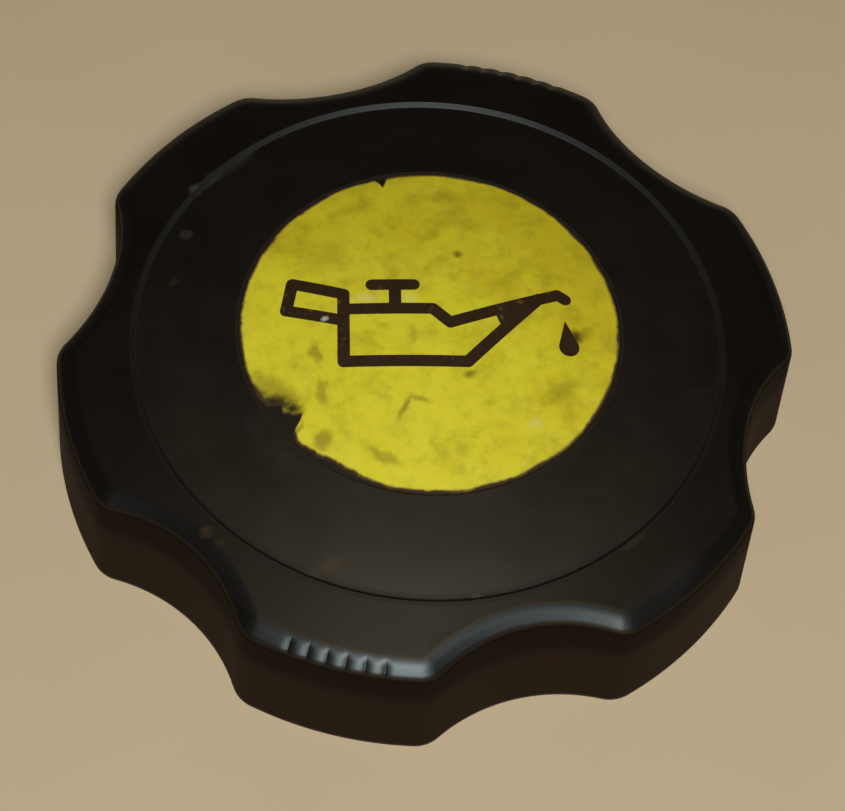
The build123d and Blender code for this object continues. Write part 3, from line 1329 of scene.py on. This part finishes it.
@dataclass(frozen=True)
class MouldedPlastic:
    """Black satin plastic of the cap, with a fine grain, greasy patches, scuffs and specks of dirt.

    The band starts at a distance from the axis, and the other starts and ends are values of the attribute.
    Ragged marks are shaken by a pattern, with the size of its patches and how far it reaches.
    """

    black: Colour = (0.0047, 0.0033, 0.0023)
    greasy: Colour = (0.0034, 0.0024, 0.0017)
    wall: Colour = (0.006, 0.0036, 0.0021)
    inside: Colour = (0.006, 0.0056, 0.0051)
    scuff: Colour = (0.06, 0.06, 0.062)
    dirt: Colour = (0.04, 0.026, 0.01)
    dust: Colour = (0.01, 0.0105, 0.009)
    grime: Colour = (0.006, 0.003, 0.0015)
    film: Colour = (0.587, 0.511, 0.376)
    ring_film: Colour = (0.37, 0.44, 0.44)
    # Specular tint just under the top edge: a painted shade band, darker than the rest of the wall.
    under_edge_shade_film: Colour = (0.12, 0.08, 0.055)
    wall_film: Colour = (0.4, 0.25, 0.18)
    inside_film: Colour = (0.5, 0.48, 0.45)
    polished: Colour = (0.335, 0.4, 0.41)
    shine: float = 0.8
    patches: Cloud = Cloud(9.0, 4.0, low=0.4, high=0.66)
    flecks: Cloud = Cloud(0.45, 2.0, 0.7, 0.66, 0.86, 0.0, 0.1)
    sheen: Cloud = Cloud(5.0, 5.0, 0.65, 0.3, 0.75, 0.465, 0.545)
    grain: Grain = Grain(0.22, 0.02, 0.25)
    ragged_marks: Pair = (0.8, 0.9)
    scuff_roughness: float = 0.2
    band_roughness: float = 0.41
    edge_roughness: float = 0.38
    ring_roughness: float = 0.5
    wall_roughness: float = 0.95
    inside_roughness: float = 0.6
    recess_line: Circle = Circle(17.87, 0.1, 0.3)
    ring_line: Circle = Circle(27.62, 0.15, 0.24)
    band_start: Pair = (27.8, 28.2)
    top_end: Pair = (0.0, 0.1)
    edge_start: Pair = (0.02, 0.14)
    edge_end: Pair = (0.4, 0.62)
    wall_start: Pair = (0.5, 0.8)
    inside_start: Pair = (1.4, 1.9)
    scuffs: tuple[Mark, ...] = (
        Mark(-22.1, 17.0, 0.8, 0.55, 35, 0.55),
        Mark(-20.6, 18.2, 1.8, 0.6, 42, 0.28, 0.9),
        Mark(-18.2, 20.2, 2.8, 0.6, 44, 0.2, 0.9),
        Mark(-22.8, 11.5, 0.7, 0.6, 0, 0.25),
        Mark(-16.3, -10.8, 1.6, 0.8, 118, 0.05, 0.9),
        Mark(-13.4, -14.0, 2.2, 0.9, 136, 0.05, 0.9),
        Mark(22.0, -24.6, 3.2, 1.6, 45, 0.07, 1.0),
    )
    specks: tuple[Mark, ...] = (
        Mark(-24.0, 5.9, 0.55, 0.45, 0, 0.3),
        Mark(-20.5, -20.7, 0.75, 0.55, 20, 0.45),
        Mark(-19.2, -21.8, 0.45, 0.4, 0, 0.35),
        Mark(-9.2, -24.2, 1.3, 0.7, 10, 0.3, 0.9),
        Mark(3.8, -27.2, 0.75, 0.4, 0, 0.6),
        Mark(18.1, -21.5, 1.6, 0.3, 40, 0.3),
        Mark(-11.1, -25.1, 1.4, 0.4, -20, 0.3),
    )

    def material(self) -> Material:
        """Make the material.

        Returns:
            The material.
        """
        paint = Paint("black_plastic_finish")
        side = paint.node("ShaderNodeAttribute", attribute_name=SIDE).outputs["Fac"]
        away = paint.vector("LENGTH", paint.vector("MULTIPLY", paint.place, Vector((1.0, 1.0, 0.0))))
        top = paint.between(side, *self.top_end, 1.0, 0.0)
        ring = self.ring_line.mask(paint, away, top)
        recess = self.recess_line.mask(paint, away, top)
        band = paint.between(away, *self.band_start)
        edge = paint.math(
            "MULTIPLY",
            paint.between(side, *self.edge_start),
            paint.between(side, *self.edge_end, 1.0, 0.0),
        )
        wall = paint.between(side, *self.wall_start)
        # Fade from the painted shade band under the edge to the wall's own tint, over the top rings of the
        # wall.
        under_edge_shade_fade = paint.between(side, EDGE_SIDE, WALL_SIDE)
        inside = paint.between(side, *self.inside_start)
        place = paint.ragged(*self.ragged_marks)
        scuffed = marked(paint, self.scuffs, place)
        colour: Tint = self.black
        for share, over in (
            (paint.cloud(self.patches), self.greasy),
            (marked(paint, self.specks, place), self.dirt),
            (scuffed, self.scuff),
            (paint.cloud(self.flecks), self.scuff),
            (wall, self.wall),
            (inside, self.inside),
            (recess, self.grime),
            (ring, self.dust),
        ):
            colour = paint.mixed(share, colour, over)
        paint.give("Base Color", colour)
        tint = paint.mixed(edge, paint.mixed(ring, self.film, self.ring_film), self.polished)
        # Down the edge and the wall the tint turns to a painted shade band, then fades to the wall's warm
        # tint.
        tint = paint.mixed(wall, tint, paint.mixed(under_edge_shade_fade, self.under_edge_shade_film, self.wall_film))
        paint.give("Specular Tint", paint.mixed(inside, tint, self.inside_film))
        paint.give("Specular IOR Level", self.shine)
        rubbed = paint.math("MULTIPLY", scuffed, self.scuff_roughness)
        sheen = paint.math("ADD", paint.cloud(self.sheen), rubbed)
        for share, rough in (
            (band, self.band_roughness),
            (edge, self.edge_roughness),
            (ring, self.ring_roughness),
            (recess, self.wall_roughness),
            (wall, self.wall_roughness),
            (inside, self.inside_roughness),
        ):
            sheen = paint.blend(share, sheen, rough)
        paint.give("Roughness", sheen)
        paint.bump(self.grain)
        return paint.material


@dataclass(frozen=True)
class LabelYellow:
    """Yellow of the label, darker towards its upper right and in patches, stained with oil, worn at its
    torn edge.
    """

    yellow: Colour = (0.65, 0.585, 0.024)
    darker_yellow: Colour = (0.50, 0.41, 0.012)
    olive: Colour = (0.19, 0.145, 0.006)
    brown: Colour = (0.036, 0.015, 0.002)
    grime: Colour = (0.012, 0.009, 0.004)
    pale: Colour = (0.62, 0.60, 0.22)
    worn_roughness: float = 0.95
    upper_span: Pair = (-6.0, 14.0)
    upper_darkening: float = 0.36
    right_span: Pair = (-2.0, 16.0)
    right_darkening: float = 0.3
    darkening_cloud: Cloud = Cloud(6.0, 5.0, 0.68)
    darkening_span: Pair = (0.45, 1.1)
    mottles: tuple[Cloud, ...] = (
        Cloud(3.4, low=0.46, high=0.78, end=0.34),
        Cloud(1.5, low=0.46, high=0.78, end=0.22),
    )
    wear: Cloud = Cloud(2.2, start=-0.14, end=0.2)
    worn_span: Pair = (0.4, 1.0)
    gloss: Cloud = Cloud(4.0, 4.0, start=0.37, end=0.5)
    grain: Grain = Grain(0.5, 0.01, 0.2)
    ragged_stains: Pair = (1.2, 1.3)
    ragged_scratches: Pair = (0.6, 0.5)
    ragged_smears: Pair = (0.7, 1.0)
    stains: tuple[Mark, ...] = (
        Mark(1.7, 14.6, 2.2, 1.0, 0, 0.45, 0.9),
        Mark(-7.6, 13.0, 2.0, 0.9, 20, 0.32, 0.9),
        Mark(3.4, 11.2, 2.6, 0.9, -15, 0.2, 0.9),
        Mark(6.8, 4.4, 1.2, 0.8, 0, 0.3, 0.9),
        Mark(8.0, 5.4, 1.4, 0.7, 30, 0.25, 0.9),
        Mark(1.2, 6.9, 1.3, 0.7, 20, 0.3, 0.9),
        Mark(-9.5, 7.5, 2.4, 1.1, 50, 0.28, 0.9),
        Mark(-1.7, -1.6, 0.6, 1.0, 0, 0.4, 0.9),
        Mark(-10.7, -3.4, 0.6, 1.4, 10, 0.6),
        Mark(-10.0, -7.6, 0.6, 1.7, 8, 0.5),
        Mark(-10.0, -12.4, 1.0, 1.1, 30, 0.6),
        Mark(-4.4, -14.2, 2.0, 0.6, -25, 0.5),
        Mark(11.8, -7.4, 1.8, 0.9, 25, 0.32, 0.9),
        Mark(2.6, -13.6, 0.8, 1.0, 0, 0.3, 0.9),
        Mark(-14.5, -7.0, 3.2, 1.3, -38, 0.6, 0.9),
        Mark(14.6, -0.6, 0.7, 0.6, 30, 0.5, 0.9),
    )
    scratches: tuple[Mark, ...] = (
        Mark(2.7, 7.6, 0.5, 0.5, 0, 0.7, 0.9),
        Mark(3.5, -5.8, 0.7, 0.5, 20, 0.65, 0.9),
        Mark(-2.6, -9.4, 1.7, 0.36, 62, 0.55, 0.9),
        Mark(-1.1, -8.5, 1.2, 0.34, -18, 0.45, 0.9),
        Mark(13.55, -1.15, 0.75, 0.9, 0, 0.9, 0.9),
    )
    smears: tuple[Mark, ...] = (
        Mark(-15.8, -7.8, 1.7, 0.8, -58, 0.95, 0.9),
        Mark(-14.3, -8.5, 2.2, 1.0, -15, 0.97, 0.8),
        Mark(-12.8, -9.2, 1.1, 0.8, -20, 0.95, 0.8),
        Mark(-12.3, -11.4, 0.3, 1.2, -24, 0.45, 0.9),
        Mark(-9.2, -15.0, 3.0, 0.6, -32, 0.5, 0.9),
    )
    pale_patches: tuple[Mark, ...] = (
        Mark(-6.0, 2.4, 1.5, 0.6, 0, 0.4, 0.9),
        Mark(-1.9, 2.3, 0.8, 0.6, 0, 0.35, 0.9),
        Mark(9.6, -10.6, 0.8, 0.7, 0, 0.4, 0.9),
    )

    def material(self) -> Material:
        """Make the material.

        Returns:
            The material.
        """
        paint = Paint("yellow_label_finish")
        axes = paint.node("ShaderNodeSeparateXYZ")
        paint.feed(axes.inputs[0], paint.place)
        upper = paint.between(axes.outputs["Y"], *self.upper_span, 0.0, self.upper_darkening)
        right = paint.between(axes.outputs["X"], *self.right_span, 0.0, self.right_darkening)
        patches = self.darkening_cloud
        darkening = paint.math("ADD", paint.math("ADD", upper, right), paint.noise(patches).outputs["Fac"])
        colour = paint.mixed(paint.between(darkening, *self.darkening_span), self.yellow, self.darker_yellow)
        for mottle in self.mottles:
            colour = paint.mixed(paint.cloud(mottle), colour, self.olive)
        place = paint.ragged(*self.ragged_stains)
        for marks, where, over in (
            (self.pale_patches, place, self.pale),
            (self.stains, place, self.olive),
            (self.scratches, paint.ragged(*self.ragged_scratches), self.brown),
            (self.smears, paint.ragged(*self.ragged_smears), self.grime),
        ):
            colour = paint.mixed(marked(paint, marks, where), colour, over)
        rim = paint.node("ShaderNodeAttribute", attribute_name=SIDE).outputs["Fac"]
        worn = paint.between(paint.math("ADD", rim, paint.cloud(self.wear)), *self.worn_span)
        paint.give("Base Color", paint.mixed(worn, colour, self.brown))
        paint.give("Roughness", paint.blend(worn, paint.cloud(self.gloss), self.worn_roughness))
        paint.bump(self.grain)
        return paint.material


@dataclass(frozen=True)
class SignPrint:
    """Black print of the sign, rubbed thin in places so that the yellow shows through."""

    black: Colour = (0.026, 0.0118, 0.0036)
    rubbed: Colour = (0.30, 0.26, 0.03)
    shine: float = 0.28
    chip: Colour = (0.42, 0.42, 0.36)
    thin: Cloud = Cloud(0.9, 4.0, 0.7, 0.58, 0.8, 0.0, 0.35)
    gloss: Cloud = Cloud(1.5, start=0.45, end=0.6)
    ragged_chips: Pair = (0.4, 0.3)
    chips: tuple[Mark, ...] = (Mark(-9.85, 0.1, 0.42, 0.3, 20, 0.9),)

    def material(self) -> Material:
        """Make the material.

        Returns:
            The material.
        """
        paint = Paint("black_print_finish")
        colour = paint.mixed(paint.cloud(self.thin), self.black, self.rubbed)
        chipped = marked(paint, self.chips, paint.ragged(*self.ragged_chips))
        paint.give("Base Color", paint.mixed(chipped, colour, self.chip))
        paint.give("Roughness", paint.cloud(self.gloss))
        paint.give("Specular IOR Level", self.shine)
        return paint.material


@dataclass(frozen=True)
class SealRubber:
    """Dull black rubber of the sealing ring, with a bloom and a film of oil."""

    black: Colour = (0.011, 0.0107, 0.0103)
    bloom: Colour = (0.0155, 0.015, 0.0145)
    film: Cloud = Cloud(3.0, 5.0, 0.65, 0.45, 0.75)
    roughness: Pair = (0.5, 0.8)
    grain: Grain = Grain(0.3, 0.02, 0.3)

    def material(self) -> Material:
        """Make the material.

        Returns:
            The material.
        """
        paint = Paint("seal_rubber_finish")
        film = paint.cloud(self.film)
        paint.give("Base Color", paint.mixed(film, self.black, self.bloom))
        paint.give("Roughness", paint.between(film, 0.0, 1.0, *self.roughness))
        paint.bump(self.grain)
        return paint.material


@dataclass(frozen=True)
class PaleFloor:
    """Plain warm pale floor that the cap stands on."""

    colour: Colour = (0.53, 0.42, 0.265)
    patches: Cloud = Cloud(40.0, rough=0.5)
    darkest: float = 0.97
    roughness: float = 0.9
    size: float = 6000.0

    def build(self) -> Object:
        """Build the floor and give it its finish.

        Returns:
            The floor.
        """
        mesh = bmesh.new()
        bmesh.ops.create_grid(mesh, x_segments=1, y_segments=1, size=self.size / 2)
        floor = piece_from(mesh, "floor")
        paint = Paint("pale_floor_finish")
        darker: Colour = tuple(self.darkest * part for part in self.colour)
        paint.give("Base Color", paint.mixed(paint.cloud(self.patches), darker, self.colour))
        paint.give("Roughness", self.roughness)
        floor.data.materials.append(paint.material)
        return floor


@dataclass(frozen=True)
class Studio:
    """Camera at the photograph's angle, a soft box beside it and a dim sky."""

    eye: Point = (-16.843, -163.098, 265.751)
    right: Point = (0.99845, -0.01888, 0.05237)
    up: Point = (-0.01158, 0.84973, 0.5271)
    lens: float = 136.33
    sensor: float = 36.0
    clip_start: float = 10.0
    box_place: Point = (0.0, -345.0, 530.0)
    box_size: float = 170.0
    box_power: float = 3.9
    box_colour: Colour = (1.0, 0.99, 0.97)
    sky: Colour = (0.022, 0.021, 0.019)

    def facing(self, place: Vector, right: Vector, up: Vector) -> Matrix:
        """Matrix of a camera or lamp that looks against its own third axis."""
        axes = Matrix((right, up, right.cross(up))).transposed().to_4x4()
        return Matrix.Translation(place * MM) @ axes

    def build(self) -> None:
        """Set up the camera, the light and the world."""
        scene = bpy.context.scene
        right, up = Vector(self.right).normalized(), Vector(self.up).normalized()
        lens = bpy.data.cameras.new("photo_camera")
        lens.lens = self.lens
        lens.sensor_width = self.sensor
        lens.clip_start = self.clip_start * MM
        camera = in_scene("photo_camera", lens)
        camera.matrix_world = self.facing(Vector(self.eye), right, up)
        scene.camera = camera
        light = bpy.data.lights.new("soft_box", "AREA")
        light.shape = "DISK"
        light.size = self.box_size * MM
        light.energy = self.box_power
        light.color = self.box_colour
        lamp = in_scene("soft_box", light)
        aim = Vector(self.box_place).normalized()
        lamp.matrix_world = self.facing(Vector(self.box_place), right, aim.cross(right).normalized())
        world = bpy.data.worlds.new("studio")
        world.use_nodes = True
        sky = world.node_tree.nodes["Background"]
        sky.inputs["Color"].default_value = (*self.sky, 1.0)
        sky.inputs["Strength"].default_value = 1.0
        scene.world = world
        scene.view_settings.view_transform = "Standard"


def dress(piece: Object, node: str, finish: Material) -> None:
    """Give a new piece its finish, and let it ride on the cap in place of its CAD node.

    Args:
        piece: The finished mesh object.
        node: CAD node that it replaces.
        finish: Material of the piece.
    """
    piece.data.materials.clear()
    piece.data.materials.append(finish)
    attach(piece, "root")
    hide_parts(node)
    LOG.info("%s: %d faces in place of %s", piece.name, len(piece.data.polygons), node)


def main() -> None:
    """Build the cap, its finishes and the studio."""
    logging.basicConfig(level=logging.INFO, format="%(name)s %(message)s")
    dress(CapBody().build(), "cap_body", MouldedPlastic().material())
    dress(SealingRing().build(), "sealing_ring", SealRubber().material())
    dress(LabelDisc().build(), "label_disc", LabelYellow().material())
    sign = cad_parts["label_sign"]
    sign.data.materials.clear()
    sign.data.materials.append(SignPrint().material())
    LOG.info("%s: print on the label, kept from the CAD frame", sign.name)
    PaleFloor().build()
    Studio().build()


if __name__ == "__main__":
    main()
